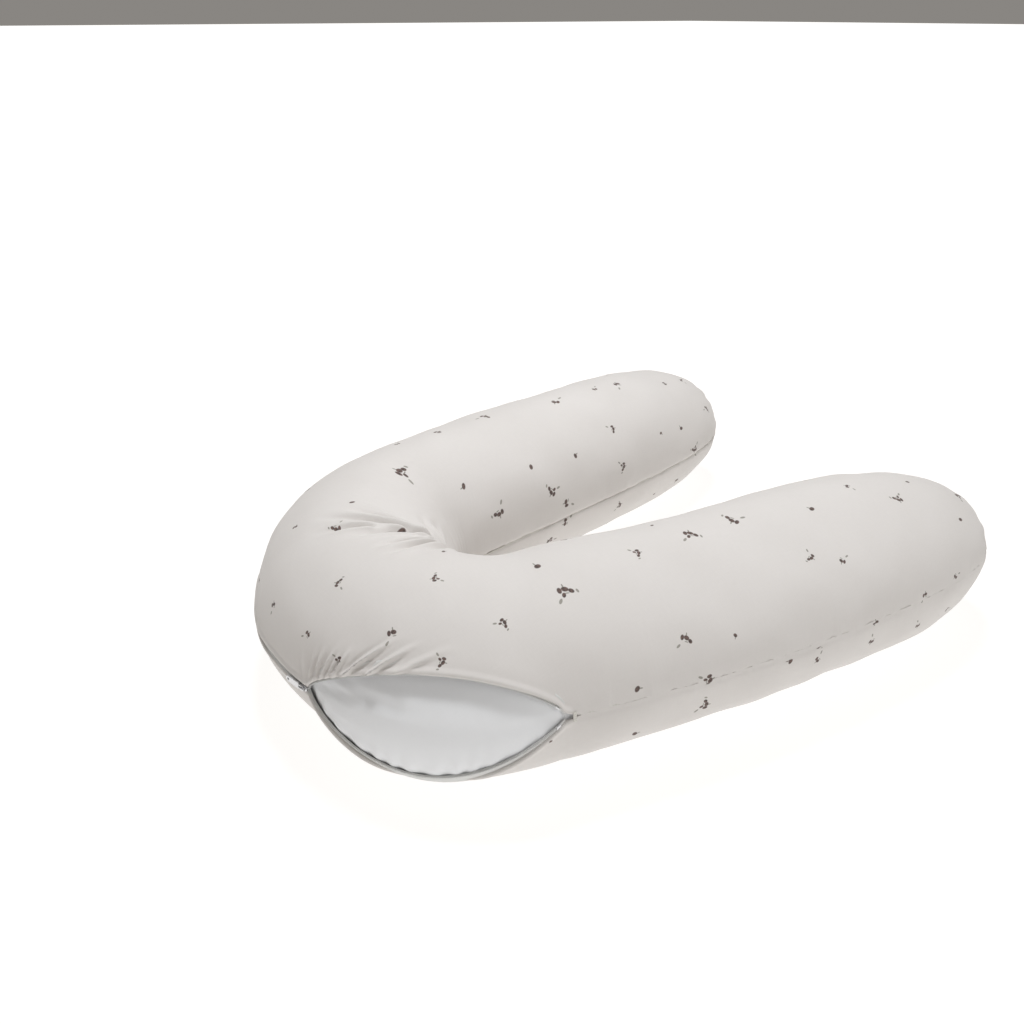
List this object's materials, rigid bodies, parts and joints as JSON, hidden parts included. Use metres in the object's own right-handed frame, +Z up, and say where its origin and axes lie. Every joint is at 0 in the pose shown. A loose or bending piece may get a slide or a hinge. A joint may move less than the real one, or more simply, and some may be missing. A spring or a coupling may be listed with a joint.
{
  "type": "nursing pillow",
  "caption": "U-shaped stuffed nursing pillow in a printed cotton cover; the zip at the bend is partly open over a white inner cushion.",
  "frame": {"origin": "on the surface that the pillow rests on, under the middle of its box", "axes": "+X towards the open end of the U, +Y towards the back arm, +Z up"},
  "size_m": [0.8248, 0.6396, 0.203],
  "materials": {
    "cover_cloth": "plain woven cotton with a sparse sprig print",
    "casing_cloth": "plain white cotton",
    "filling": "loose polyester fibre",
    "thread": "spun polyester thread",
    "zip_tape": "woven polyester tape",
    "zip_coil": "satin",
    "zip_metal": "plated zinc"
  },
  "bodies": {
    "bend": {"cover_top_bend": "cover_cloth", "cover_bottom_bend": "cover_cloth", "casing_top_bend": "casing_cloth", "casing_bottom_bend": "casing_cloth", "filling_bend": "filling", "inner_seam_thread_bend": "thread", "outer_seam_thread_bend": "thread", "zip_tape_upper": "zip_tape", "zip_tape_lower": "zip_tape", "zip_coil_upper": "zip_coil", "zip_coil_lower": "zip_coil", "zip_top_stops": "zip_metal", "zip_bottom_stop": "zip_metal", "zip_bar_tacks": "thread"},
    "front_arm": {"cover_top_front_arm": "cover_cloth", "cover_bottom_front_arm": "cover_cloth", "casing_top_front_arm": "casing_cloth", "casing_bottom_front_arm": "casing_cloth", "filling_front_arm": "filling", "inner_seam_thread_front_arm": "thread", "outer_seam_thread_front_arm": "thread"},
    "back_arm": {"cover_top_back_arm": "cover_cloth", "cover_bottom_back_arm": "cover_cloth", "casing_top_back_arm": "casing_cloth", "casing_bottom_back_arm": "casing_cloth", "filling_back_arm": "filling", "inner_seam_thread_back_arm": "thread", "outer_seam_thread_back_arm": "thread"},
    "zip_slider": {"slider_body": "zip_metal", "slider_bail": "zip_metal"},
    "zip_pull": {"pull_tab": "zip_metal"}
  },
  "joints": [
    {"name": "front_arm_flex", "type": "hinge", "parent": "bend", "child": "front_arm", "pos_m": [-0.09526, -0.28471, 0.0985], "axis": [0, 0, -1], "range_deg": [0, 20]},
    {"name": "back_arm_flex", "type": "hinge", "parent": "bend", "child": "back_arm", "pos_m": [-0.08792, 0.28775, 0.0985], "axis": [0, 0, 1], "range_deg": [0, 20]},
    {"name": "slider_travel", "type": "hinge", "parent": "bend", "child": "zip_slider", "pos_m": [-0.13896, 0.00439, 0.0985], "axis": [0, 0, -1], "range_deg": [0, 64]},
    {"name": "pull_swing", "type": "hinge", "parent": "zip_slider", "child": "zip_pull", "pos_m": [-0.40662, -0.05374, 0.0985], "axis": [0, 0, 1], "range_deg": [0, 150]}
  ]
}
